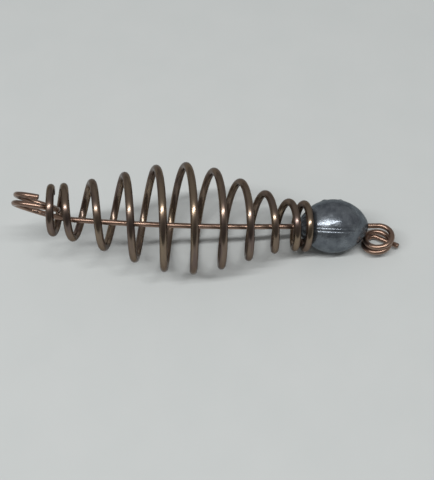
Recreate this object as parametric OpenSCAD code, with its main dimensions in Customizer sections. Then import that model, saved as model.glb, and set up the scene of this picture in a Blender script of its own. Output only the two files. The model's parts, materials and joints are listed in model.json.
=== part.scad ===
// Spring feeder for fishing: a barrel-wound bait spring and a drilled egg sinker,
// both threaded on one wire stem that is wound into an eye at each end.
// It lies on its side, the spring's widest turns and the sinker on the ground at z = 0.
// Millimetres. X runs along the feeder, from the big eye to the small eye.

/* [Stem wire] */
// Diameter of the stem wire
stem_d = 1.25; // [1:0.05:1.25]
// Angle through which the stem is bowed inside the spring, in degrees
stem_bow_angle = 5; // [1:0.25:8]

/* [Bait spring] */
// Diameter of the spring wire
spring_wire_d = 1.75; // [1.5:0.05:1.75]
// Number of turns
spring_turns = 10.75; // [9.75:0.5:12.75]
// Mean diameter of the widest turn
crown_d = 24.2; // [19:0.2:27]
// Turn at which the spring is widest, counted from the big eye
crown_turns = 5.2; // [4.5:0.1:6]
// Mean diameter of the first turn, at the big eye
eye_end_d = 10; // [9:0.1:10.2]
// Mean diameter of the last turns, at the sinker
sinker_end_d = 10.4; // [9.4:0.05:11]
// Turns of even diameter that seat on the sinker
seat_turns = 1.2; // [0.75:0.05:1.5]
// Pitch of the open turns near the big eye
eye_pitch = 7.8; // [6.5:0.1:9]
// Pitch of the open turns near the sinker
sinker_pitch = 5.45; // [5.2:0.05:7]
// Pitch at both ends, where the turns close up
closed_pitch = 1.6; // [1.6:0.05:2.2]
// Turns over which each end closes up
closing_turns = 2.3; // [1.5:0.1:2.3]
// Power of the flare from the first turn to the widest one, higher for a later flare
flare_power = 1.25; // [1:0.05:1.5]
// How far the spring hangs below the middle of the big eye
spring_drop = 1.1; // [0:0.1:1.2]
// Angle of the cut end at the big eye, about the spring's axis, in degrees
spring_start_angle = 40; // [0:5:355]

/* [Egg sinker] */
// Largest diameter of the sinker
sinker_d = 12.7; // [11:0.1:14.5]
// Length from the widest section to the tip inside the spring
sinker_nose_l = 8.5; // [7.5:0.1:10]
// Length from the widest section to the tip at the small eye
sinker_tail_l = 8.8; // [8:0.1:10.5]
// Diameter of the flat at each tip
tip_d = 2.4; // [2:0.1:3]
// Gap all round the stem in the sinker's bore
bore_clearance = 0.08; // [0.02:0.01:0.1]
// How far the sinker slides towards the spring
sinker_travel = 8; // [3:0.5:12]

/* [Big eye] */
// Length of the eye at the middle of the wire
big_eye_l = 9.5; // [9:0.1:11]
// Width of the eye at the middle of the wire
big_eye_w = 7.5; // [7:0.1:9]
// Pitch of the eye's turns
big_eye_pitch = 1.95; // [1.7:0.05:2.2]
// Turns from where the stem meets the eye to its cut end
big_eye_turns = 1.63; // [1.3:0.01:1.8]
// Length from the eye's middle to the bend where the stem leaves it
big_eye_neck = 7.5; // [7:0.1:9]
// Angle between the stem's end and the eye's plane, in degrees
big_eye_lift_angle = 9; // [0:0.5:15]
// Turn of the eye about the stem, measured from upright, in degrees
big_eye_roll_angle = 58.5; // [0:0.5:90]

/* [Small eye] */
// Diameter of the eye at the middle of the wire
small_eye_d = 5.8; // [5.6:0.1:7.6]
// Pitch of the eye's turns
small_eye_pitch = 1.7; // [1.7:0.05:2.1]
// Angle by which the eye's far side is lifted from the stem's line, in degrees
small_eye_lean_angle = 11.5; // [8:0.5:14]
// Drop of the eye below the stem in its first turn, beside the drop by its pitch
small_eye_drop = 0.35; // [0:0.05:0.6]
// Turn of the eye about the stem, its far side down, in degrees
small_eye_roll_angle = 11; // [5:0.5:15]
// Turns up to the bend of the tail
small_eye_turns = 2; // [2:1:3]
// Length of the straight tail
tail_l = 5.5; // [4:0.1:7]
// Angle by which the tail turns in under the eye, in degrees
tail_turn_angle = 40; // [25:1:45]
// Angle by which the tail rises towards the eye, in degrees
tail_rise_angle = 6; // [0:0.5:8]
// Radius of the wire's bends at the middle of the wire
bend_r = 1.5; // [1.2:0.1:2]

/* [Seats] */
// Gap at each place where the spring or the sinker meets another piece
seat_gap = 0.15; // [0.1:0.05:0.4]

/* [Hidden] */
$fn = 64;

// Rings and sides of the wound wires
spring_rings = 24;
eye_rings = 24;
wire_sides = 6;
bow_rings = 14;
// Length by which a wound end of the stem starts inside its straight part
root_l = 0.4;
// A wound end is this much thinner than the straight part that it grows from
root_step = 0.02;

stem_r = stem_d / 2;
spring_wire_r = spring_wire_d / 2;
wound_r = stem_r - root_step / 2;
sinker_r = sinker_d / 2;
small_eye_r = small_eye_d / 2;
drop_end_angle = 270;

function ease(t) = t * t * (3 - 2 * t);
function unit(v) = v / norm(v);
function turned_about_x(p, a) =
    [p.x, p.y * cos(a) - p.z * sin(a), p.y * sin(a) + p.z * cos(a)];
function turned_about_y(p, a) =
    [p.x * cos(a) + p.z * sin(a), p.y, p.z * cos(a) - p.x * sin(a)];

// The root of a rising function between two bounds, by halving
function root_of(f, low, high, n = 24) =
    let (mid = (low + high) / 2)
    n == 0 ? mid : f(mid) > 0 ? root_of(f, low, mid, n - 1) : root_of(f, mid, high, n - 1);

// Sinker: each half of the outline is one arc, widest at x = 0 on the stem's axis
nose_arc = (sinker_nose_l ^ 2 + sinker_r ^ 2) / sinker_d;
tail_arc = (sinker_tail_l ^ 2 + sinker_r ^ 2) / sinker_d;
function arc_x(arc, r, out = 0) = sqrt((arc + out) ^ 2 - (r + arc - sinker_r) ^ 2);
nose_x = arc_x(nose_arc, tip_d / 2);
tail_x = arc_x(tail_arc, tip_d / 2);

// Small eye: wound downwards from the stem, then a tail that turns in under it
function small_eye_path(x) =
    let (
        last = 360 * small_eye_turns,
        steps = eye_rings * small_eye_turns,
        wound = [
            for (i = [0:steps])
                let (a = last * i / steps)
                [
                    x + small_eye_r * sin(a),
                    small_eye_r * (cos(a) - 1),
                    small_eye_r * sin(a) * tan(small_eye_lean_angle)
                        - small_eye_pitch * a / 360
                        - small_eye_drop * (1 - cos(min(a, drop_end_angle) * 180 / drop_end_angle)) / 2
                ]
        ],
        end = wound[steps],
        heading = -last,
        bend = [
            for (i = [1:4])
                let (a = tail_turn_angle * i / 4, run = bend_r * a * PI / 180)
                end + [
                    bend_r * (sin(heading) - sin(heading - a)),
                    bend_r * (cos(heading - a) - cos(heading)),
                    run * tan(tail_rise_angle)
                ]
        ],
        out = heading - tail_turn_angle,
        tip = bend[3] + tail_l * [cos(out), sin(out), tan(tail_rise_angle)]
    )
    [for (p = concat([[x - root_l, 0, 0]], wound, bend, [tip])) turned_about_x(p, -small_eye_roll_angle)];

// Distance from a point near the sinker's tail to the tail's surface
function tail_gap(p) = norm([p.x, norm([p.y, p.z]) + tail_arc - sinker_r]) - tail_arc;
function eye_gap(path) =
    min([for (i = [eye_rings / 2:len(path) - 1]) tail_gap(path[i])]) - stem_r;
small_eye_x = root_of(
    function (x) eye_gap(small_eye_path(x)) - seat_gap,
    small_eye_r, sinker_tail_l + small_eye_d
);
small_eye = small_eye_path(small_eye_x);

// The stem is straight as far as the sinker can slide, then bowed up to the big eye
bow_x = -nose_x - sinker_travel - root_l;

// Big eye, in a frame whose X and Y lie in the eye's plane, with the bend at the neck
neck_cos = big_eye_l / 2 / big_eye_neck;
neck_angle = acos(neck_cos);
function big_eye_wire(a) = [
    big_eye_l / 2 * cos(a), big_eye_w / 2 * sin(a), big_eye_pitch * (a - neck_angle) / 360
];
// A rounded corner between two directions, cut back from it by bend_r
function corner(p, from, to) = [
    for (t = [0:0.25:1]) p + bend_r * ((1 - t) ^ 2 * from + t ^ 2 * to)
];
// A direction or place in the eye's plane, as it lies in the plane of the bow
function lifted(p) = turned_about_y(p, stem_bow_angle + big_eye_lift_angle);
function bow_point(r, a) = [bow_x - r * sin(a), 0, r * (1 - cos(a))];
function big_eye_middle(bow_l) =
    let (r = bow_l / stem_bow_angle * 180 / PI)
    bow_point(r, stem_bow_angle) - lifted([big_eye_neck, 0, 0]);
function big_eye_path(bow_l) =
    let (
        r = bow_l / stem_bow_angle * 180 / PI,
        neck = bow_point(r, stem_bow_angle),
        middle = big_eye_middle(bow_l),
        slant = unit(lifted(big_eye_wire(neck_angle) - [big_eye_neck, 0, 0])),
        along = [cos(stem_bow_angle), 0, -sin(stem_bow_angle)],
        back = 180 / PI * bend_r / r,
        turns = floor(eye_rings * big_eye_turns),
        eye = [
            for (i = [0:turns])
                middle + lifted(big_eye_wire(neck_angle + 360 * big_eye_turns * i / turns))
        ]
    )
    concat(
        [[bow_x + root_l, 0, 0]],
        [for (i = [0:bow_rings]) bow_point(r, (stem_bow_angle - back) * i / bow_rings)],
        [for (p = corner(neck, along, slant)) if (p.x < bow_x) p],
        eye
    );
function rolled(path) = [for (p = path) turned_about_x(p, -big_eye_roll_angle)];

// Spring: mean radius at each turn, and place along its axis from the sinker's end
seat_turn = spring_turns - seat_turns;
function turn_r(u) =
    (u < crown_turns
        ? eye_end_d + (crown_d - eye_end_d) * ease((u / crown_turns) ^ flare_power)
        : sinker_end_d + (crown_d - sinker_end_d)
            * ease(max(0, seat_turn - u) / (seat_turn - crown_turns))) / 2;
function open_pitch(u) = eye_pitch + (sinker_pitch - eye_pitch) * u / spring_turns;
function turn_pitch(u) =
    closed_pitch + (open_pitch(u) - closed_pitch) * ease(min(1, min(u, spring_turns - u) / closing_turns));
spring_steps = round(spring_turns * spring_rings);
function step_turn(i) = spring_turns * i / spring_steps;
advance = [
    for (i = 0, x = 0; i <= spring_steps;
        x = x + turn_pitch(step_turn(i + 0.5)) * spring_turns / spring_steps, i = i + 1) x
];
spring_l = advance[spring_steps];

// The last turn rests on the sinker's nose
seat_x = -arc_x(nose_arc, sinker_end_d / 2, spring_wire_r + seat_gap);

// The spring's axis runs from that seat to a place just below the middle of the big eye
function spring_axis(bow_l) =
    unit(big_eye_middle(bow_l) + lifted([0, 0, big_eye_wire(360).z - spring_drop]) - [seat_x, 0, 0]);

// Least gap between the spring and the big eye, whichever way the spring is turned
function spin_gap(bow_l) =
    let (
        axis = spring_axis(bow_l),
        eye = [
            for (p = big_eye_path(bow_l))
                let (d = p - [seat_x, 0, 0])
                if (p.x < bow_x) [d * axis, norm(cross(d, axis))]
        ]
    )
    min([
        for (i = [0:2:spring_steps])
            let (s = [spring_l - advance[i], turn_r(step_turn(i))])
            for (e = eye)
                norm(s - e)
    ]) - stem_r - spring_wire_r;
// The eye stops the spring's first turn, so the eye's middle lies beyond the spring's end
least_bow_l = spring_l + bow_x - seat_x - big_eye_neck;
bow_l = root_of(function (l) spin_gap(l) - seat_gap, least_bow_l, 2 * spring_l);
big_eye = rolled(big_eye_path(bow_l));
axis_in_bow = spring_axis(bow_l);
spring_dir = turned_about_x(axis_in_bow, -big_eye_roll_angle);
spring_up = turned_about_x(unit(cross(axis_in_bow, [0, -1, 0])), -big_eye_roll_angle);
spring_near = cross(spring_up, spring_dir);

// Turns run from the top over the near side as they come from the big eye
spring = [
    for (i = [0:spring_steps])
        let (u = step_turn(i), a = 360 * u - spring_start_angle)
        [seat_x, 0, 0] + (spring_l - advance[i]) * spring_dir
            + turn_r(u) * (cos(a) * spring_up + sin(a) * spring_near)
];

// Tilt at which the spring and the sinker both touch the ground
function low(path, r, a) = min([for (p = path) turned_about_y(p, a).z]) - r;
function sinker_low(a) = (tail_arc - sinker_r) * cos(a) - tail_arc;
tilt = root_of(
    function (a) low(spring, spring_wire_r, a)
        - min(sinker_low(a), low(small_eye, stem_r, a)),
    0, 30
);
ground = min(low(spring, spring_wire_r, tilt), sinker_low(tilt), low(small_eye, stem_r, tilt));

// The origin lies on the ground under the middle of the feeder
function middle_of(low, high) = (low + high) / 2;
shift = [
    -middle_of(
        min([for (p = big_eye) turned_about_y(p, tilt).x]),
        max([for (p = small_eye) turned_about_y(p, tilt).x])
    ),
    -middle_of(min([for (p = spring) p.y]), max([for (p = spring) p.y])),
    -ground
];
function laid(p) = turned_about_y(p, tilt) + shift;
module laid() translate(shift) rotate([0, tilt, 0]) children();

// Least gap of a wound wire to itself, between points more than half a turn apart
function self_gap(path, d, apart) = min([
    for (i = [0:len(path) - 1])
        for (j = [i + apart:1:len(path) - 1])
            norm(path[i] - path[j])
]) - d;
echo(spring_gap = self_gap(spring, spring_wire_d, spring_rings / 2));
echo(big_eye_gap = self_gap([for (p = big_eye) if (p.x < bow_x) p], stem_d, eye_rings / 2));
echo(small_eye_gap = self_gap(small_eye, stem_d, eye_rings / 2));
echo(spin_gap = spin_gap(bow_l), tilt = tilt, spring_l = spring_l, bow_l = bow_l);
echo(spring_axis = turned_about_y(spring_dir, tilt), seat = laid([seat_x, 0, 0]));
echo(stem_axis = turned_about_y([1, 0, 0], tilt), sinker_middle = laid([0, 0, 0]));
echo(big_eye_middle = laid(turned_about_x(big_eye_middle(bow_l), -big_eye_roll_angle)));
small_eye_middle = [small_eye_x, -small_eye_r, -small_eye_pitch * small_eye_turns / 2];
small_eye_axis = [-sin(small_eye_lean_angle), 0, cos(small_eye_lean_angle)];
echo(small_eye_middle = laid(turned_about_x(small_eye_middle, -small_eye_roll_angle)));
echo(small_eye_axis = turned_about_y(turned_about_x(small_eye_axis, -small_eye_roll_angle), tilt));

// A round wire of even thickness along a path, its rings kept square to it
module wire(path, r, up) {
    last = len(path) - 1;
    points = [
        for (i = [0:last])
            let (
                along = unit(path[min(i + 1, last)] - path[max(i - 1, 0)]),
                side = unit(cross(along, up)),
                over = cross(side, along)
            )
            for (j = [0:wire_sides - 1])
                let (a = 360 * j / wire_sides)
                path[i] + r * (cos(a) * side + sin(a) * over)
    ];
    end = last * wire_sides;
    faces = concat(
        [
            for (i = [0:last - 1])
                for (j = [0:wire_sides - 1])
                    let (
                        k = (j + 1) % wire_sides,
                        a = i * wire_sides,
                        b = a + wire_sides
                    )
                    each [[a + j, a + k, b + k], [a + j, b + k, b + j]]
        ],
        [for (j = [1:wire_sides - 2]) [0, j + 1, j]],
        [for (j = [1:wire_sides - 2]) [end, end + j, end + j + 1]]
    );
    polyhedron(points, faces);
}

module stem_wire() color("peru") laid() {
    translate([bow_x, 0, 0])
        rotate([0, 90, 0])
            cylinder(r = stem_r, h = small_eye_x - bow_x);
    wire(big_eye, wound_r, turned_about_x([0, 0, 1], -big_eye_roll_angle));
    wire(small_eye, wound_r, [0, 0, 1]);
}

module bait_spring() color("saddlebrown") laid()
    wire(spring, spring_wire_r, spring_dir);

// One half of the sinker's outline, from its widest section to a flat tip
module sinker_half(arc, l) {
    intersection() {
        translate([sinker_r - arc, 0])
            circle(r = arc);
        square([sinker_r, l]);
    }
}

module egg_sinker() color("slategray") laid()
    difference() {
        rotate([0, 90, 0])
            rotate_extrude() {
                sinker_half(tail_arc, tail_x);
                mirror([0, 1])
                    sinker_half(nose_arc, nose_x);
            }
        translate([-sinker_nose_l, 0, 0])
            rotate([0, 90, 0])
                cylinder(r = stem_r + bore_clearance, h = sinker_nose_l + sinker_tail_l);
    }

stem_wire();
bait_spring();
egg_sinker();
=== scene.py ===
import json
import math

import bmesh
import bpy
from mathutils import Matrix, Vector, noise


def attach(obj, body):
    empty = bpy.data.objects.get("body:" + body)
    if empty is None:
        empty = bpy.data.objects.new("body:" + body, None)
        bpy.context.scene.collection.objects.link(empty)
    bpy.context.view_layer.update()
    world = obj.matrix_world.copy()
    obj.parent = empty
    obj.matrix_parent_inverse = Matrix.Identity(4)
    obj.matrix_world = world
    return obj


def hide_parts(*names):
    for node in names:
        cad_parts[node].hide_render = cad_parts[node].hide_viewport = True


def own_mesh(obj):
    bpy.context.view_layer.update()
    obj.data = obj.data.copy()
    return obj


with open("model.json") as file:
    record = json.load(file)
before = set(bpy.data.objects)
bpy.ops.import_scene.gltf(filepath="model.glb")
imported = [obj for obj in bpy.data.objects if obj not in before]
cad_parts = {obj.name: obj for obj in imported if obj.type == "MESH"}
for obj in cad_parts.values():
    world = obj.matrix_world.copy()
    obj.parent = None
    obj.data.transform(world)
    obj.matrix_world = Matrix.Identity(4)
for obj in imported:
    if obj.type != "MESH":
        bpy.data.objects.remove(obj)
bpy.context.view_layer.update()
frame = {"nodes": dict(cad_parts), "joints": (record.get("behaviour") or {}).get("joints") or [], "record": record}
print("frame loaded:", ", ".join(sorted(frame["nodes"])))

mm = 0.001


def linear(hexColour):
    parts = [int(hexColour[i:i + 2], 16) / 255 for i in (1, 3, 5)]
    return [p / 12.92 if p <= 0.04045 else ((p + 0.055) / 1.055) ** 2.4 for p in parts] + [1]


# Adds a node, sets its properties, then fills or links its inputs
def addNode(tree, kind, inputs=None, **settings):
    node = tree.nodes.new(kind)
    for name, value in settings.items():
        setattr(node, name, value)
    for key, value in (inputs or {}).items():
        if isinstance(value, bpy.types.NodeSocket):
            tree.links.new(value, node.inputs[key])
        else:
            node.inputs[key].default_value = value
    return node


def newMaterial(name):
    material = bpy.data.materials.new(name)
    material.use_nodes = True
    return material, material.node_tree, material.node_tree.nodes["Principled BSDF"]


def newTree(name, inputs):
    tree = bpy.data.node_groups.new(name, "GeometryNodeTree")
    for socketName, socketType in inputs:
        tree.interface.new_socket(socketName, in_out="INPUT", socket_type="NodeSocket" + socketType)
    tree.interface.new_socket("Geometry", in_out="OUTPUT", socket_type="NodeSocketGeometry")
    return tree, addNode(tree, "NodeGroupInput").outputs


# Runs a tree on an object, keeps the result as a plain mesh and drops the modifier
def bakeTree(piece, tree, values):
    modifier = piece.modifiers.new(tree.name, "NODES")
    modifier.node_group = tree
    for item in tree.interface.items_tree:
        if item.in_out == "INPUT" and item.name in values:
            modifier[item.identifier] = values[item.name]
    graph = bpy.context.evaluated_depsgraph_get()
    mesh = bpy.data.meshes.new_from_object(
        piece.evaluated_get(graph), preserve_all_data_layers=True, depsgraph=graph
    )
    piece.modifiers.clear()
    piece.data = mesh


def newPiece(name, points=(), edges=(), faces=()):
    mesh = bpy.data.meshes.new(name)
    mesh.from_pydata(points, edges, faces)
    piece = bpy.data.objects.new(name, mesh)
    bpy.context.scene.collection.objects.link(piece)
    return piece


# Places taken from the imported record
joints = {joint["name"]: joint for joint in frame["joints"]}
mounts = {mount["name"]: mount for mount in frame["record"]["mounts"]}
seat = Vector(joints["spring_spin"]["pos_m"])
springAxis = -Vector(joints["spring_spin"]["axis"]).normalized()
stemAxis = Vector(joints["sinker_press"]["axis"]).normalized()
acrossAxis = Vector((0, 1, 0))
upAxis = stemAxis.cross(acrossAxis)
pressTravel = -joints["sinker_press"]["range_m"][0]

spring = {
    "wireRadius": 0.875 * mm,
    "turns": 10.75,
    "crownTurn": 5.2,  # the widest turn, counted from the big eye
    "seatTurns": 1.2,
    "crownRadius": 12.1 * mm,
    "eyeEndRadius": 5 * mm,
    "sinkerEndRadius": 5.2 * mm,
    "eyePitch": 7.8 * mm,
    "sinkerPitch": 5.45 * mm,
    "closedPitch": 1.6 * mm,
    "closingTurns": 2.3,
    "flarePower": 1.25,
    "startAngle": math.radians(40),
    "seatGap": 0.15 * mm,
    "cutRim": 0.16 * mm,
    "ringsPerTurn": 96,
    "sides": 24,
}
sinker = {
    "radius": 6.35 * mm,
    "noseLength": 8.5 * mm,
    "tailLength": 8.8 * mm,
    "tipRadius": 1.2 * mm,
    "tipRounding": 0.25 * mm,
    "tipCrown": 0.1,  # how far the flat tips stand out, as a share of their rounding
    "boreRadius": 0.705 * mm,
    "boreChamfer": 0.15 * mm,
    "rings": 120,
    "segments": 220,
    "seamAngle": math.radians(43.6),  # from straight up, towards the near side
    "seamLineGap": 0.36 * mm,  # half the distance between the two lines of the parting seam
    "seamLineWidth": 0.12 * mm,
    "seamHeight": 0.07 * mm,
    "seamFade": (1.5 * mm, 5 * mm),  # where the seam fades towards the tail
    "seamLeft": 0.35,  # the share of its height that is left there
    "seamReach": 0.8 * mm,  # the rings have finer steps this far to each side of the seam
    "seamSteps": 16,
    "seamMargin": 1.05,  # keeps the coarse steps clear of the fine ones
    "angleDigits": 6,
    "flashAngle": math.radians(-58.4),
    "flashPlaces": (-2.07 * mm, 2.04 * mm),
    "flashHeight": 0.22 * mm,
    "flashWidth": 0.55 * mm,
    "dentSize": 2.6 * mm,
    "dentDepth": 0.05 * mm,
    "fineDents": 2.7,  # how many times smaller the second set of dents is
    "fineDentShare": 0.5,
    "skinFade": 3 * mm,  # below this radius the cast relief dies out towards the tips
}


def arcRadius(length):
    return (length ** 2 + sinker["radius"] ** 2) / (2 * sinker["radius"])


# Distance along the stem at which an arc of the egg's outline has a given radius
def arcPlace(arc, radius, out=0):
    return math.sqrt((arc + out) ** 2 - (radius + arc - sinker["radius"]) ** 2)


noseArc = arcRadius(sinker["noseLength"])
tailArc = arcRadius(sinker["tailLength"])
noseEnd = arcPlace(noseArc, sinker["tipRadius"])
tailEnd = arcPlace(tailArc, sinker["tipRadius"])
seatPlace = -arcPlace(noseArc, spring["sinkerEndRadius"], spring["wireRadius"] + spring["seatGap"])
sinkerMiddle = seat - seatPlace * stemAxis


# From the feeder's own frame, along the stem with the egg's widest section at 0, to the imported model's
def laid(x, y, z):
    return sinkerMiddle + x * stemAxis + y * acrossAxis + z * upAxis


# What both drawn wires share. Each edge is the noise levels between which one look fades into the other
drawn = {
    "lineDetail": 2,
    "lineGrain": 0.6,
    "lineEdge": (0.55, 0.8),
    "patchDetail": 3,
    "patchGrain": 0.55,
    "patchEdge": (0.35, 0.65),
    "glossEdge": (0.3, 0.7),
    "gripDetail": 1,
    "quarterTurn": 0.25,  # turns the highlights' spread from along the wire to across it
}


# Drawn wire: fine lines along it, a thin tarnish that shifts over millimetres, a film of lacquer whose
# highlights are white on the coloured metal and, where it was gripped, plier marks
def drawnWire(name, look):
    material, tree, shader = newMaterial(name)
    section = addNode(tree, "ShaderNodeAttribute", attribute_name="wireSection")
    length = addNode(tree, "ShaderNodeAttribute", attribute_name="wireLength")
    around = addNode(tree, "ShaderNodeSeparateXYZ", {0: section.outputs["Vector"]})
    wire = addNode(
        tree, "ShaderNodeCombineXYZ",
        {0: around.outputs[0], 1: around.outputs[1], 2: length.outputs["Fac"]},
    ).outputs[0]
    lines = addNode(
        tree, "ShaderNodeMapping",
        {"Vector": wire, "Scale": (look["lineWidth"], look["lineWidth"], look["lineLength"])},
        vector_type="TEXTURE",
    )
    lineNoise = addNode(
        tree, "ShaderNodeTexNoise",
        {
            "Vector": lines.outputs[0], "Scale": 1,
            "Detail": drawn["lineDetail"], "Roughness": drawn["lineGrain"],
        },
    )
    patches = addNode(
        tree, "ShaderNodeMapping",
        {"Vector": wire, "Scale": (look["patchWidth"], look["patchWidth"], look["patchLength"])},
        vector_type="TEXTURE",
    )
    patchNoise = addNode(
        tree, "ShaderNodeTexNoise",
        {
            "Vector": patches.outputs[0], "Scale": 1,
            "Detail": drawn["patchDetail"], "Roughness": drawn["patchGrain"],
        },
    )
    patchShare = addNode(
        tree, "ShaderNodeMapRange",
        {
            "Value": patchNoise.outputs["Fac"],
            "From Min": drawn["patchEdge"][0], "From Max": drawn["patchEdge"][1],
        },
    )
    metal = addNode(
        tree, "ShaderNodeMix",
        {"Factor": patchShare.outputs[0], 6: linear(look["metal"]), 7: linear(look["tarnish"])},
        data_type="RGBA",
    )
    lineShare = addNode(
        tree, "ShaderNodeMapRange",
        {
            "Value": lineNoise.outputs["Fac"],
            "From Min": drawn["lineEdge"][0], "From Max": drawn["lineEdge"][1],
            "To Max": look["lineShare"],
        },
    )
    colour = addNode(
        tree, "ShaderNodeMix",
        {"Factor": lineShare.outputs[0], 6: metal.outputs[2], 7: linear(look["bare"])},
        data_type="RGBA",
    )
    gloss = addNode(
        tree, "ShaderNodeMapRange",
        {
            "Value": patchNoise.outputs["Fac"],
            "From Min": drawn["glossEdge"][0], "From Max": drawn["glossEdge"][1],
            "To Min": look["roughness"][0], "To Max": look["roughness"][1],
        },
    )
    bump = addNode(
        tree, "ShaderNodeBump",
        {"Height": lineNoise.outputs["Fac"], "Strength": 1, "Distance": look["lineDepth"]},
    )
    surface = bump.outputs[0]
    if "gripMiddle" in look:
        grips = addNode(
            tree, "ShaderNodeMapping",
            {"Vector": wire, "Scale": (look["gripWidth"], look["gripWidth"], look["gripStep"])},
            vector_type="TEXTURE",
        )
        gripNoise = addNode(
            tree, "ShaderNodeTexNoise",
            {"Vector": grips.outputs[0], "Scale": 1, "Detail": drawn["gripDetail"]},
        )
        gripped = addNode(
            tree, "ShaderNodeMath",
            {0: length.outputs["Fac"], 1: look["gripMiddle"], 2: look["gripReach"]},
            operation="COMPARE",
        )
        surface = addNode(
            tree, "ShaderNodeBump",
            {
                "Height": gripNoise.outputs["Fac"], "Strength": gripped.outputs[0],
                "Distance": look["gripDepth"], "Normal": surface,
            },
        ).outputs[0]
    way = addNode(
        tree, "ShaderNodeVectorTransform",
        {0: addNode(tree, "ShaderNodeAttribute", attribute_name="wireWay").outputs["Vector"]},
        vector_type="VECTOR", convert_from="OBJECT", convert_to="WORLD",
    )
    tree.links.new(colour.outputs[2], shader.inputs["Base Color"])
    tree.links.new(gloss.outputs[0], shader.inputs["Roughness"])
    tree.links.new(surface, shader.inputs["Normal"])
    tree.links.new(way.outputs[0], shader.inputs["Tangent"])
    shader.inputs["Metallic"].default_value = 1
    shader.inputs["Specular Tint"].default_value = linear(look["edge"])
    shader.inputs["Anisotropic"].default_value = look["spread"]
    shader.inputs["Anisotropic Rotation"].default_value = drawn["quarterTurn"]
    shader.inputs["Coat Weight"].default_value = look["lacquer"]
    shader.inputs["Coat Roughness"].default_value = look["lacquerRoughness"]
    return material


# Bronzed spring wire: a satin brown oxide on drawn wire, golden where it is thin and darker where thick
bronzedWire = drawnWire("bronzedSpringWire", {
    "metal": "#8b7a67",
    "tarnish": "#70605a",
    "bare": "#a69078",
    "edge": "#9c9490",  # the oxide dims what it reflects at a glancing angle
    "lineWidth": 0.16 * mm,  # real draw lines are under 0.05 mm, and these are wide enough to show
    "lineLength": 9 * mm,
    "lineDepth": 0.0015 * mm,
    "lineShare": 0.4,
    "patchWidth": 1.6 * mm,
    "patchLength": 8 * mm,
    "roughness": (0.25, 0.32),
    "spread": 0.6,  # how far a highlight spreads across the wire
    "lacquer": 0.3,
    "lacquerRoughness": 0.14,
})

# Copper wire: drawn copper gone brown from handling, under a clear lacquer, with the marks of pliers
# where the big eye starts
copperWire = drawnWire("copperStemWire", {
    "metal": "#987b68",
    "tarnish": "#826554",
    "bare": "#b4998a",
    "edge": "#c4bcb8",
    "lineWidth": 0.12 * mm,  # drawn coarser than real for the same reason
    "lineLength": 7 * mm,
    "lineDepth": 0.0003 * mm,
    "lineShare": 0.25,
    "patchWidth": 1.1 * mm,
    "patchLength": 9 * mm,
    "roughness": (0.28, 0.33),
    "spread": 0.5,
    "lacquer": 1.0,
    "lacquerRoughness": 0.28,
    "gripMiddle": 41 * mm,  # along the wire from the big eye's cut end
    "gripReach": 2.8 * mm,
    "gripWidth": 0.45 * mm,
    "gripStep": 0.4 * mm,
    "gripDepth": 0.16 * mm,
})


# Sheared wire end: bare grey-brown metal, torn into short ridges by the cutters
def shearedEnd():
    look = {
        "dark": "#77706a",
        "bright": "#a39a90",
        "ridgeLength": 0.5 * mm,
        "ridgeWidth": 0.12 * mm,
        "ridgeDepth": 0.03 * mm,
        "ridgeDetail": 2,
        "roughness": 0.42,
    }
    material, tree, shader = newMaterial("shearedWireEnd")
    place = addNode(tree, "ShaderNodeTexCoord")
    ridges = addNode(
        tree, "ShaderNodeMapping",
        {
            "Vector": place.outputs["Object"],
            "Scale": (look["ridgeLength"], look["ridgeWidth"], look["ridgeWidth"]),
        },
        vector_type="TEXTURE",
    )
    torn = addNode(
        tree, "ShaderNodeTexNoise",
        {"Vector": ridges.outputs[0], "Scale": 1, "Detail": look["ridgeDetail"]},
    )
    colour = addNode(
        tree, "ShaderNodeMix",
        {"Factor": torn.outputs["Fac"], 6: linear(look["dark"]), 7: linear(look["bright"])},
        data_type="RGBA",
    )
    bump = addNode(
        tree, "ShaderNodeBump",
        {"Height": torn.outputs["Fac"], "Strength": 1, "Distance": look["ridgeDepth"]},
    )
    tree.links.new(colour.outputs[2], shader.inputs["Base Color"])
    tree.links.new(bump.outputs[0], shader.inputs["Normal"])
    shader.inputs["Metallic"].default_value = 1
    shader.inputs["Roughness"].default_value = look["roughness"]
    return material


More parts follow.
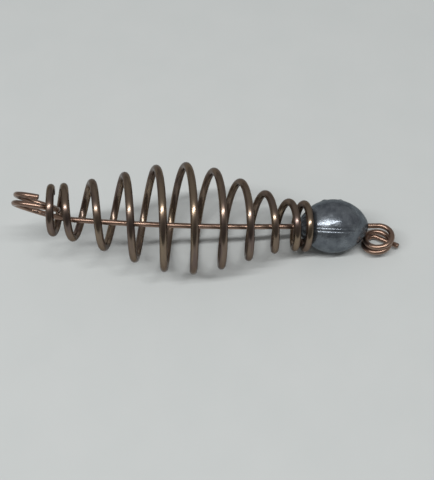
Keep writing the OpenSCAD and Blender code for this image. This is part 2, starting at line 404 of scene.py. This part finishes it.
# Cast lead: blue-grey with a dull skin, mottled by the mould and scored across by filing
def castLead():
    look = {
        "skin": "#7c8288",
        "dark": "#5b6067",
        "rubbed": "#969ba1",
        "edge": "#b4b8ba",  # dims what it reflects at a glancing angle
        "bareShare": 0.75,  # the rest of the skin is dull oxide
        "roughness": (0.2, 0.29),
        "mottle": 2.2 * mm,
        "mottleDetail": 4,
        "mottleEdge": (0.35, 0.65),  # noise levels between which dark gives way to light
        "glossEdge": (0.3, 0.7),
        "scoreWidth": 0.2 * mm,
        "scoreLength": 3 * mm,
        "scoreDetail": 3,
        "scoreDepth": 0.005 * mm,
        "scoreEdge": (0.55, 0.75),
        "scoreShare": 0.3,
        "grit": 0.5 * mm,
        "gritDetail": 2,
        "gritDepth": 0.028 * mm,
        "grain": 0.6,
    }
    material, tree, shader = newMaterial("castLead")
    turn = Matrix((stemAxis, acrossAxis, upAxis)).transposed().to_euler()
    place = addNode(tree, "ShaderNodeTexCoord").outputs["Object"]
    noises = {}
    for name, scale, detail in (
        ("mottle", (look["mottle"],) * 3, look["mottleDetail"]),
        ("score", (look["scoreWidth"], look["scoreLength"], look["scoreLength"]), look["scoreDetail"]),
        ("grit", (look["grit"],) * 3, look["gritDetail"]),
    ):
        mapped = addNode(
            tree, "ShaderNodeMapping",
            {"Vector": place, "Location": sinkerMiddle, "Rotation": turn, "Scale": scale},
            vector_type="TEXTURE",
        )
        noises[name] = addNode(
            tree, "ShaderNodeTexNoise",
            {"Vector": mapped.outputs[0], "Scale": 1, "Detail": detail, "Roughness": look["grain"]},
        ).outputs["Fac"]
    mottled = addNode(
        tree, "ShaderNodeMapRange",
        {
            "Value": noises["mottle"],
            "From Min": look["mottleEdge"][0], "From Max": look["mottleEdge"][1],
        },
    )
    skin = addNode(
        tree, "ShaderNodeMix",
        {"Factor": mottled.outputs[0], 6: linear(look["dark"]), 7: linear(look["skin"])},
        data_type="RGBA",
    )
    scored = addNode(
        tree, "ShaderNodeMapRange",
        {
            "Value": noises["score"],
            "From Min": look["scoreEdge"][0], "From Max": look["scoreEdge"][1],
            "To Max": look["scoreShare"],
        },
    )
    colour = addNode(
        tree, "ShaderNodeMix",
        {"Factor": scored.outputs[0], 6: skin.outputs[2], 7: linear(look["rubbed"])},
        data_type="RGBA",
    )
    gloss = addNode(
        tree, "ShaderNodeMapRange",
        {
            "Value": noises["mottle"],
            "From Min": look["glossEdge"][0], "From Max": look["glossEdge"][1],
            "To Min": look["roughness"][0], "To Max": look["roughness"][1],
        },
    )
    scoreBump = addNode(
        tree, "ShaderNodeBump",
        {"Height": noises["score"], "Strength": 1, "Distance": look["scoreDepth"]},
    )
    gritBump = addNode(
        tree, "ShaderNodeBump",
        {
            "Height": noises["grit"], "Strength": 1, "Distance": look["gritDepth"],
            "Normal": scoreBump.outputs[0],
        },
    )
    tree.links.new(colour.outputs[2], shader.inputs["Base Color"])
    tree.links.new(gloss.outputs[0], shader.inputs["Roughness"])
    tree.links.new(gritBump.outputs[0], shader.inputs["Normal"])
    shader.inputs["Metallic"].default_value = look["bareShare"]
    shader.inputs["Specular Tint"].default_value = linear(look["edge"])
    return material


cutMetal = shearedEnd()
lead = castLead()
print("materials made")

# A round wire along a curve, with the place on its section and along its length kept for the materials
sweepTree, given = newTree("wireSweep", (
    ("Curve", "Geometry"), ("Wire Radius", "Float"), ("Sides", "Int"), ("Material", "Material"),
))
alongWire = addNode(
    sweepTree, "GeometryNodeStoreNamedAttribute",
    {
        "Geometry": given["Curve"],
        "Name": "wireLength",
        "Value": addNode(sweepTree, "GeometryNodeSplineParameter").outputs["Length"],
    },
    data_type="FLOAT", domain="POINT",
)
wayOfWire = addNode(
    sweepTree, "GeometryNodeStoreNamedAttribute",
    {
        "Geometry": alongWire.outputs["Geometry"],
        "Name": "wireWay",
        "Value": addNode(sweepTree, "GeometryNodeInputTangent").outputs[0],
    },
    data_type="FLOAT_VECTOR", domain="POINT",
)
circle = addNode(
    sweepTree, "GeometryNodeCurvePrimitiveCircle",
    {"Resolution": given["Sides"], "Radius": given["Wire Radius"]},
)
section = addNode(
    sweepTree, "GeometryNodeStoreNamedAttribute",
    {
        "Geometry": circle.outputs["Curve"],
        "Name": "wireSection",
        "Value": addNode(sweepTree, "GeometryNodeInputPosition").outputs[0],
    },
    data_type="FLOAT_VECTOR", domain="POINT",
)
swept = addNode(
    sweepTree, "GeometryNodeCurveToMesh",
    {
        "Curve": wayOfWire.outputs["Geometry"],
        "Profile Curve": section.outputs["Geometry"],
        "Fill Caps": True,
    },
)
smooth = addNode(sweepTree, "GeometryNodeSetShadeSmooth", {"Geometry": swept.outputs["Mesh"]})
real = addNode(sweepTree, "GeometryNodeRealizeInstances", {"Geometry": smooth.outputs[0]})
coated = addNode(
    sweepTree, "GeometryNodeSetMaterial",
    {"Geometry": real.outputs[0], "Material": given["Material"]},
)
addNode(sweepTree, "NodeGroupOutput", {"Geometry": coated.outputs[0]})

# The stem: its path comes in as a chain of edges
stemTree, given = newTree("bentWire", (
    ("Geometry", "Geometry"), ("Wire Radius", "Float"), ("Sides", "Int"), ("Material", "Material"),
))
chain = addNode(stemTree, "GeometryNodeMeshToCurve", {"Mesh": given["Geometry"]})
stemSweep = addNode(
    stemTree, "GeometryNodeGroup",
    node_tree=sweepTree,
    inputs={
        "Curve": chain.outputs[0],
        "Wire Radius": given["Wire Radius"],
        "Sides": given["Sides"],
        "Material": given["Material"],
    },
)
addNode(stemTree, "NodeGroupOutput", {"Geometry": stemSweep.outputs[0]})

# The spring: one rule gives the radius at each turn and one the pitch. Its points run from the sinker's
# end to the big eye, and turns are counted from the big eye
springTree, given = newTree("barrelSpring", (
    ("Turns", "Float"), ("Crown Turn", "Float"), ("Seat Turn", "Float"),
    ("Crown Radius", "Float"), ("Eye End Radius", "Float"), ("Sinker End Radius", "Float"),
    ("Eye Pitch", "Float"), ("Sinker Pitch", "Float"), ("Closed Pitch", "Float"),
    ("Closing Turns", "Float"), ("Flare Power", "Float"), ("Start Angle", "Float"),
    ("Rings Per Turn", "Float"), ("Seat", "Vector"), ("Axis", "Vector"), ("Up", "Vector"),
    ("Wire Radius", "Float"), ("Sides", "Int"), ("Material", "Material"),
))
count = addNode(
    springTree, "ShaderNodeMath",
    {0: given["Turns"], 1: given["Rings Per Turn"], 2: 1}, operation="MULTIPLY_ADD",
)
line = addNode(springTree, "GeometryNodeMeshLine", {"Count": count.outputs[0], "Offset": (0, 0, mm)})
gone = addNode(
    springTree, "ShaderNodeMath",
    {0: addNode(springTree, "GeometryNodeInputIndex").outputs[0], 1: given["Rings Per Turn"]},
    operation="DIVIDE",
)
turn = addNode(
    springTree, "ShaderNodeMath", {0: given["Turns"], 1: gone.outputs[0]}, operation="SUBTRACT"
)
crownShare = addNode(
    springTree, "ShaderNodeMath", {0: turn.outputs[0], 1: given["Crown Turn"]}, operation="DIVIDE"
)
flare = addNode(
    springTree, "ShaderNodeMath", {0: crownShare.outputs[0], 1: given["Flare Power"]}, operation="POWER"
)
widening = addNode(
    springTree, "ShaderNodeMapRange",
    {"Value": flare.outputs[0], "To Min": given["Eye End Radius"], "To Max": given["Crown Radius"]},
    interpolation_type="SMOOTHSTEP",
)
narrowing = addNode(
    springTree, "ShaderNodeMapRange",
    {
        "Value": turn.outputs[0],
        "From Min": given["Crown Turn"], "From Max": given["Seat Turn"],
        "To Min": given["Crown Radius"], "To Max": given["Sinker End Radius"],
    },
    interpolation_type="SMOOTHSTEP",
)
radius = addNode(
    springTree, "ShaderNodeMath", {0: widening.outputs[0], 1: narrowing.outputs[0]}, operation="MINIMUM"
)
step = addNode(springTree, "ShaderNodeMath", {0: 1, 1: given["Rings Per Turn"]}, operation="DIVIDE")
# Half a ring on, in the middle of the step to the next ring
between = addNode(
    springTree, "ShaderNodeMath",
    {0: step.outputs[0], 1: -0.5, 2: turn.outputs[0]}, operation="MULTIPLY_ADD",
)
openPitch = addNode(
    springTree, "ShaderNodeMapRange",
    {
        "Value": between.outputs[0], "From Max": given["Turns"],
        "To Min": given["Eye Pitch"], "To Max": given["Sinker Pitch"],
    },
)
toSinkerEnd = addNode(
    springTree, "ShaderNodeMath", {0: given["Turns"], 1: between.outputs[0]}, operation="SUBTRACT"
)
toNearEnd = addNode(
    springTree, "ShaderNodeMath",
    {0: between.outputs[0], 1: toSinkerEnd.outputs[0]}, operation="MINIMUM",
)
pitch = addNode(
    springTree, "ShaderNodeMapRange",
    {
        "Value": toNearEnd.outputs[0], "From Max": given["Closing Turns"],
        "To Min": given["Closed Pitch"], "To Max": openPitch.outputs[0],
    },
    interpolation_type="SMOOTHSTEP",
)
rise = addNode(
    springTree, "ShaderNodeMath", {0: pitch.outputs[0], 1: step.outputs[0]}, operation="MULTIPLY"
)
advance = addNode(springTree, "GeometryNodeAccumulateField", {0: rise.outputs[0]}, data_type="FLOAT")
angle = addNode(
    springTree, "ShaderNodeMath",
    {0: turn.outputs[0], 1: -2 * math.pi, 2: given["Start Angle"]}, operation="MULTIPLY_ADD",
)
fromAxis = []
for operation in ("COSINE", "SINE"):
    part = addNode(springTree, "ShaderNodeMath", {0: angle.outputs[0]}, operation=operation)
    fromAxis.append(addNode(
        springTree, "ShaderNodeMath", {0: part.outputs[0], 1: radius.outputs[0]}, operation="MULTIPLY"
    ).outputs[0])
onTurn = addNode(
    springTree, "ShaderNodeCombineXYZ",
    {0: fromAxis[0], 1: fromAxis[1], 2: advance.outputs["Trailing"]},
)
wound = addNode(
    springTree, "GeometryNodeSetPosition",
    {"Geometry": line.outputs[0], "Position": onTurn.outputs[0]},
)
facing = addNode(
    springTree, "FunctionNodeAxesToRotation",
    {0: given["Axis"], 1: given["Up"]}, primary_axis="Z", secondary_axis="X",
)
placed = addNode(
    springTree, "GeometryNodeTransform",
    {"Geometry": wound.outputs[0], "Translation": given["Seat"], "Rotation": facing.outputs[0]},
)
coil = addNode(springTree, "GeometryNodeMeshToCurve", {"Mesh": placed.outputs[0]})
springSweep = addNode(
    springTree, "GeometryNodeGroup",
    node_tree=sweepTree,
    inputs={
        "Curve": coil.outputs[0],
        "Wire Radius": given["Wire Radius"],
        "Sides": given["Sides"],
        "Material": given["Material"],
    },
)
addNode(springTree, "NodeGroupOutput", {"Geometry": springSweep.outputs[0]})
print("wire trees made")


# Rounds the rim of each cut end a little and gives its face the sheared metal. The two end faces are
# the only ones with more than four corners
def dressCutEnds(piece, rim, rimSteps=3, roundProfile=0.5):
    shape = bmesh.new()
    shape.from_mesh(piece.data)
    caps = [face for face in shape.faces if len(face.verts) > 4]
    rims = {edge for face in caps for edge in face.edges}
    bmesh.ops.bevel(
        shape, geom=list(rims), offset=rim, offset_type="OFFSET",
        segments=rimSteps, profile=roundProfile, affect="EDGES",
    )
    for face in shape.faces:
        face.smooth = len(face.verts) <= 4
        if len(face.verts) > 4:
            face.material_index = 1
    shape.to_mesh(piece.data)
    shape.free()
    piece.data.materials.append(cutMetal)


stem = {
    "wireRadius": 0.625 * mm,
    "bowAngle": math.radians(5),
    "eyeLength": 9.5 * mm,
    "eyeWidth": 7.5 * mm,
    "eyePitch": 1.95 * mm,
    "eyeTurns": 1.63,
    "neck": 7.5 * mm,  # from the big eye's middle to the bend where the stem leaves it
    "lift": math.radians(9),
    "roll": math.radians(58.5),
    "smallEyeRadius": 2.9 * mm,
    "smallEyePitch": 1.7 * mm,
    "smallEyeLean": math.radians(11.5),
    "smallEyeDrop": 0.35 * mm,  # extra drop of its first turn, so that it clears the egg's tail
    "dropEnd": math.radians(270),
    "smallEyeRoll": math.radians(11),
    "smallEyeTurns": 2,
    "tailLength": 5.5 * mm,
    "tailTurn": math.radians(40),
    "tailRise": math.radians(6),
    "bendRadius": 1.5 * mm,
    "straightEnd": 0.4 * mm,  # straight wire left beyond the sinker's travel
    "ringsPerTurn": 96,
    "bowSteps": 60,
    "neckSteps": 12,
    "tailBendSteps": 16,
    "sides": 24,
    "cutRim": 0.24 * mm,
}


def stemPlace(mount):
    return (Vector(mounts[mount]["pos_m"]) - sinkerMiddle).dot(stemAxis)


# The bow and the big eye, from the straight part to the cut end
def bigEyePath():
    bow = stem["bowAngle"]
    raised = bow + stem["lift"]
    bowStart = -noseEnd - pressTravel - stem["straightEnd"]
    bowRadius = (bowStart - stem["neck"] * math.cos(raised) - stemPlace("big_eye")) / math.sin(bow)
    neckAngle = math.acos(stem["eyeLength"] / 2 / stem["neck"])

    def onBow(a):
        return Vector((bowStart - bowRadius * math.sin(a), 0, bowRadius * (1 - math.cos(a))))

    def lifted(v):
        return Matrix.Rotation(raised, 3, "Y") @ Vector(v)

    def onEye(a):
        return lifted((
            stem["eyeLength"] / 2 * math.cos(a),
            stem["eyeWidth"] / 2 * math.sin(a),
            stem["eyePitch"] * (a - neckAngle) / (2 * math.pi),
        ))

    neck = onBow(bow)
    middle = neck - lifted((stem["neck"], 0, 0))
    slant = (middle + onEye(neckAngle) - neck).normalized()
    along = Vector((math.cos(bow), 0, -math.sin(bow)))
    bowEnd = bow - stem["bendRadius"] / bowRadius
    path = [onBow(bowEnd * i / stem["bowSteps"]) for i in range(stem["bowSteps"])]
    for i in range(stem["neckSteps"] + 1):
        t = i / stem["neckSteps"]
        path.append(neck + stem["bendRadius"] * ((1 - t) ** 2 * along + t ** 2 * slant))
    eyeSteps = round(stem["ringsPerTurn"] * stem["eyeTurns"])
    for i in range(eyeSteps + 1):
        path.append(middle + onEye(neckAngle + 2 * math.pi * stem["eyeTurns"] * i / eyeSteps))
    return [Matrix.Rotation(-stem["roll"], 3, "X") @ point for point in path]


# The small eye, wound down from the stem, and its tail, to the cut end
def smallEyePath():
    start = stemPlace("small_eye")
    radius = stem["smallEyeRadius"]
    last = 2 * math.pi * stem["smallEyeTurns"]
    steps = round(stem["ringsPerTurn"] * stem["smallEyeTurns"])
    path = []
    for i in range(steps + 1):
        a = last * i / steps
        lean = radius * math.sin(a) * math.tan(stem["smallEyeLean"])
        dropped = (1 - math.cos(math.pi * min(1, a / stem["dropEnd"]))) / 2
        path.append(Vector((
            start + radius * math.sin(a),
            radius * (math.cos(a) - 1),
            lean - stem["smallEyePitch"] * a / (2 * math.pi) - stem["smallEyeDrop"] * dropped,
        )))
    end = path[-1]
    heading = -last
    rise = math.tan(stem["tailRise"])
    bend = stem["bendRadius"]
    for i in range(1, stem["tailBendSteps"] + 1):
        a = stem["tailTurn"] * i / stem["tailBendSteps"]
        path.append(end + Vector((
            bend * (math.sin(heading) - math.sin(heading - a)),
            bend * (math.cos(heading - a) - math.cos(heading)),
            bend * a * rise,
        )))
    out = heading - stem["tailTurn"]
    path.append(path[-1] + stem["tailLength"] * Vector((math.cos(out), math.sin(out), rise)))
    return [Matrix.Rotation(-stem["smallEyeRoll"], 3, "X") @ point for point in path]


stemPath = [laid(*point) for point in bigEyePath()[::-1] + smallEyePath()]
woundStem = newPiece("wound_stem", stemPath, [(i, i + 1) for i in range(len(stemPath) - 1)])
bakeTree(woundStem, stemTree, {
    "Wire Radius": stem["wireRadius"], "Sides": stem["sides"], "Material": copperWire,
})
dressCutEnds(woundStem, stem["cutRim"])
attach(woundStem, "stem")
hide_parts("stem_wire")
print("stem wound:", len(woundStem.data.polygons), "faces")

rolledNear = math.sin(stem["roll"]) * upAxis - math.cos(stem["roll"]) * acrossAxis
springUp = springAxis.cross(rolledNear).normalized()
barrelSpring = newPiece("barrel_spring")
bakeTree(barrelSpring, springTree, {
    "Turns": spring["turns"],
    "Crown Turn": spring["crownTurn"],
    "Seat Turn": spring["turns"] - spring["seatTurns"],
    "Crown Radius": spring["crownRadius"],
    "Eye End Radius": spring["eyeEndRadius"],
    "Sinker End Radius": spring["sinkerEndRadius"],
    "Eye Pitch": spring["eyePitch"],
    "Sinker Pitch": spring["sinkerPitch"],
    "Closed Pitch": spring["closedPitch"],
    "Closing Turns": spring["closingTurns"],
    "Flare Power": spring["flarePower"],
    "Start Angle": spring["startAngle"],
    "Rings Per Turn": float(spring["ringsPerTurn"]),
    "Seat": seat,
    "Axis": springAxis,
    "Up": springUp,
    "Wire Radius": spring["wireRadius"],
    "Sides": spring["sides"],
    "Material": bronzedWire,
})
dressCutEnds(barrelSpring, spring["cutRim"])
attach(barrelSpring, "spring")
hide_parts("bait_spring")
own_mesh(barrelSpring)

seamSides = (0, math.pi)  # the parting seam runs down two opposite sides


# How far the cast skin stands out from the plain egg at a place along and round it
def skinHeight(x, a, r):
    height = 0
    for half in seamSides:
        away = math.remainder(a - sinker["seamAngle"] - half, 2 * math.pi) * r
        for side in (-1, 1):
            offset = (away - side * sinker["seamLineGap"]) / sinker["seamLineWidth"]
            height += sinker["seamHeight"] * math.exp(-offset ** 2)
    fadeStart, fadeEnd = sinker["seamFade"]
    left = sinker["seamLeft"]
    height *= left + (1 - left) * min(1, max(0, (fadeEnd - x) / (fadeEnd - fadeStart)))
    flashAway = math.remainder(a - sinker["flashAngle"], 2 * math.pi) * r / sinker["flashWidth"]
    for place in sinker["flashPlaces"]:
        flashOff = (x - place) / sinker["flashWidth"]
        height += sinker["flashHeight"] * math.exp(-(flashAway ** 2 + flashOff ** 2))
    spot = Vector((x, r * math.sin(a), r * math.cos(a))) / sinker["dentSize"]
    dents = noise.noise(spot) + sinker["fineDentShare"] * noise.noise(sinker["fineDents"] * spot)
    return height + sinker["dentDepth"] * dents


# The egg's outline from the bore at the nose to the bore at the tail, as (place, radius, cast skin)
def eggOutline():
    outline = []
    for i in range(sinker["rings"] + 1):
        x = -noseEnd + (noseEnd + tailEnd) * (1 - math.cos(math.pi * i / sinker["rings"])) / 2
        arc = noseArc if x < 0 else tailArc
        r = math.sqrt(arc ** 2 - x ** 2) - arc + sinker["radius"]
        outline.append((x, r, 1))
    bore = sinker["boreRadius"]
    chamfer = sinker["boreChamfer"]
    flat = sinker["tipRadius"] - sinker["tipRounding"]
    crown = sinker["tipCrown"] * sinker["tipRounding"]
    nose = [
        (-noseEnd + chamfer, bore, 0),
        (-noseEnd, bore + chamfer, 0),
        (-noseEnd - crown, flat, 0),
    ]
    tail = [
        (tailEnd + crown, flat, 0),
        (tailEnd, bore + chamfer, 0),
        (tailEnd - chamfer, bore, 0),
    ]
    return nose + outline + tail


# The egg's points and faces, with rings that have finer steps at the seam
def castEgg():
    fullTurn = 2 * math.pi
    reach = sinker["seamReach"] / sinker["radius"]
    fine = [reach * (i / sinker["seamSteps"] - 1) for i in range(2 * sinker["seamSteps"] + 1)]
    digits = sinker["angleDigits"]
    angles = {round(fullTurn * i / sinker["segments"], digits) for i in range(sinker["segments"])}
    for half in seamSides:
        middle = sinker["seamAngle"] + half
        cleared = reach * sinker["seamMargin"]
        angles = {a for a in angles if abs(math.remainder(a - middle, fullTurn)) > cleared}
        angles |= {round((middle + f) % fullTurn, digits) for f in fine}
    angles = sorted(angles)
    outline = eggOutline()
    points = []
    for x, r, skin in outline:
        for a in angles:
            out = r + (skinHeight(x, a, r) * min(1, r / sinker["skinFade"]) if skin else 0)
            points.append(laid(x, -out * math.sin(a), out * math.cos(a)))
    faces = []
    n = len(angles)
    for i in range(len(outline)):
        below = (i + 1) % len(outline) * n
        for j in range(n):
            k = (j + 1) % n
            faces.append((i * n + j, i * n + k, below + k, below + j))
    return points, faces


eggPoints, eggFaces = castEgg()
castSinker = newPiece("cast_sinker", eggPoints, (), eggFaces)
shape = bmesh.new()
shape.from_mesh(castSinker.data)
bmesh.ops.recalc_face_normals(shape, faces=shape.faces)
for face in shape.faces:
    face.smooth = True
shape.to_mesh(castSinker.data)
shape.free()
castSinker.data.materials.append(lead)
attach(castSinker, "sinker")
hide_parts("egg_sinker")
print("sinker cast:", len(castSinker.data.polygons), "faces")

# Paper: a plain pale sheet, matt and faintly clouded
sheet = {
    "shade": "#c8cccb",
    "light": "#ced1d0",
    "cloud": 14 * mm,
    "cloudDetail": 3,
    "roughness": 0.9,
    "specular": 0.2,
    "half": 4.0,  # metres from the middle to an edge
}
paper, paperTree, paperShader = newMaterial("palePaper")
onPaper = addNode(paperTree, "ShaderNodeTexCoord").outputs["Object"]
cloud = addNode(
    paperTree, "ShaderNodeTexNoise",
    {"Vector": onPaper, "Scale": 1 / sheet["cloud"], "Detail": sheet["cloudDetail"]},
)
paperColour = addNode(
    paperTree, "ShaderNodeMix",
    {"Factor": cloud.outputs["Fac"], 6: linear(sheet["shade"]), 7: linear(sheet["light"])},
    data_type="RGBA",
)
paperTree.links.new(paperColour.outputs[2], paperShader.inputs["Base Color"])
paperShader.inputs["Roughness"].default_value = sheet["roughness"]
paperShader.inputs["Specular IOR Level"].default_value = sheet["specular"]
half = sheet["half"]
floor = newPiece(
    "paper_floor",
    [(-half, -half, 0), (half, -half, 0), (half, half, 0), (-half, half, 0)],
    (), [(0, 1, 2, 3)],
)
floor.data.materials.append(paper)

# Studio light: a soft pale room, dim on the near side, and a lamp tube overhead that runs along the
# feeder. Lengths are in metres. The ranges are the upward and the far part of a direction of length 1
studio = {
    "colour": "#ffffff",
    "ceiling": 0.33,
    "horizon": 0.24,
    "ceilingRange": (0.05, 0.75),
    "nearShare": 0.4,
    "nearRange": (-0.65, -0.3),
    "tubeLength": 1.0,
    "tubeWidth": 0.03,
    "tubeShift": -0.18,
    "tubeElevation": math.radians(75),
    "tubeDistance": 0.7,
    "tubePower": 4.5,
}
world = bpy.data.worlds.new("studioLight")
world.use_nodes = True
bpy.context.scene.world = world
skyTree = world.node_tree
sky = addNode(skyTree, "ShaderNodeTexCoord").outputs["Generated"]
skyWay = addNode(skyTree, "ShaderNodeSeparateXYZ", {0: sky})
skyHeight = addNode(
    skyTree, "ShaderNodeMapRange",
    {
        "Value": skyWay.outputs[2],
        "From Min": studio["ceilingRange"][0], "From Max": studio["ceilingRange"][1],
        "To Min": studio["horizon"], "To Max": studio["ceiling"],
    },
    interpolation_type="SMOOTHSTEP",
)
nearSide = addNode(
    skyTree, "ShaderNodeMapRange",
    {
        "Value": skyWay.outputs[1],
        "From Min": studio["nearRange"][0], "From Max": studio["nearRange"][1],
        "To Min": studio["nearShare"], "To Max": 1,
    },
    interpolation_type="SMOOTHSTEP",
)
skyLevel = addNode(
    skyTree, "ShaderNodeMath", {0: skyHeight.outputs[0], 1: nearSide.outputs[0]}, operation="MULTIPLY"
)
skyTree.links.new(skyLevel.outputs[0], skyTree.nodes["Background"].inputs["Strength"])
skyTree.nodes["Background"].inputs["Color"].default_value = linear(studio["colour"])

tubeData = bpy.data.lights.new("lampTube", "AREA")
tubeData.shape = "RECTANGLE"
tubeData.size = studio["tubeLength"]
tubeData.size_y = studio["tubeWidth"]
tubeData.energy = studio["tubePower"]
lampTube = bpy.data.objects.new("lampTube", tubeData)
tubeWay = Vector((0, -math.cos(studio["tubeElevation"]), math.sin(studio["tubeElevation"])))
lampTube.location = studio["tubeDistance"] * tubeWay + Vector((studio["tubeShift"], 0, 0))
lampTube.rotation_euler = (math.pi / 2 - studio["tubeElevation"], 0, 0)
bpy.context.scene.collection.objects.link(lampTube)

# The photograph's viewing angle, with the focal length in pixels of its long side
shot = {
    "azimuth": math.radians(-0.769),
    "elevation": math.radians(58.285),
    "roll": math.radians(-6.131),
    "distance": 175.526 * mm,
    "focalPixels": 722.71,
    "longSidePixels": 480,
    "sensor": 36,
    "clipStart": 10 * mm,
    "aim": Vector((0.618, 0, 2.354)) * mm,
}
backward = Vector((
    -math.sin(shot["azimuth"]) * math.cos(shot["elevation"]),
    -math.cos(shot["azimuth"]) * math.cos(shot["elevation"]),
    math.sin(shot["elevation"]),
))
sideways = Vector((math.cos(shot["azimuth"]), -math.sin(shot["azimuth"]), 0))
upright = Matrix((sideways, backward.cross(sideways), backward)).transposed()
turned = upright @ Matrix.Rotation(shot["roll"], 3, "Z")
cameraData = bpy.data.cameras.new("shot")
cameraData.sensor_width = shot["sensor"]
cameraData.lens = shot["focalPixels"] * shot["sensor"] / shot["longSidePixels"]
cameraData.clip_start = shot["clipStart"]
camera = bpy.data.objects.new("shot", cameraData)
camera.matrix_world = Matrix.Translation(shot["aim"] + shot["distance"] * backward) @ turned.to_4x4()
bpy.context.scene.collection.objects.link(camera)
bpy.context.scene.camera = camera
bpy.context.scene.view_settings.view_transform = "Standard"
print("stage set")
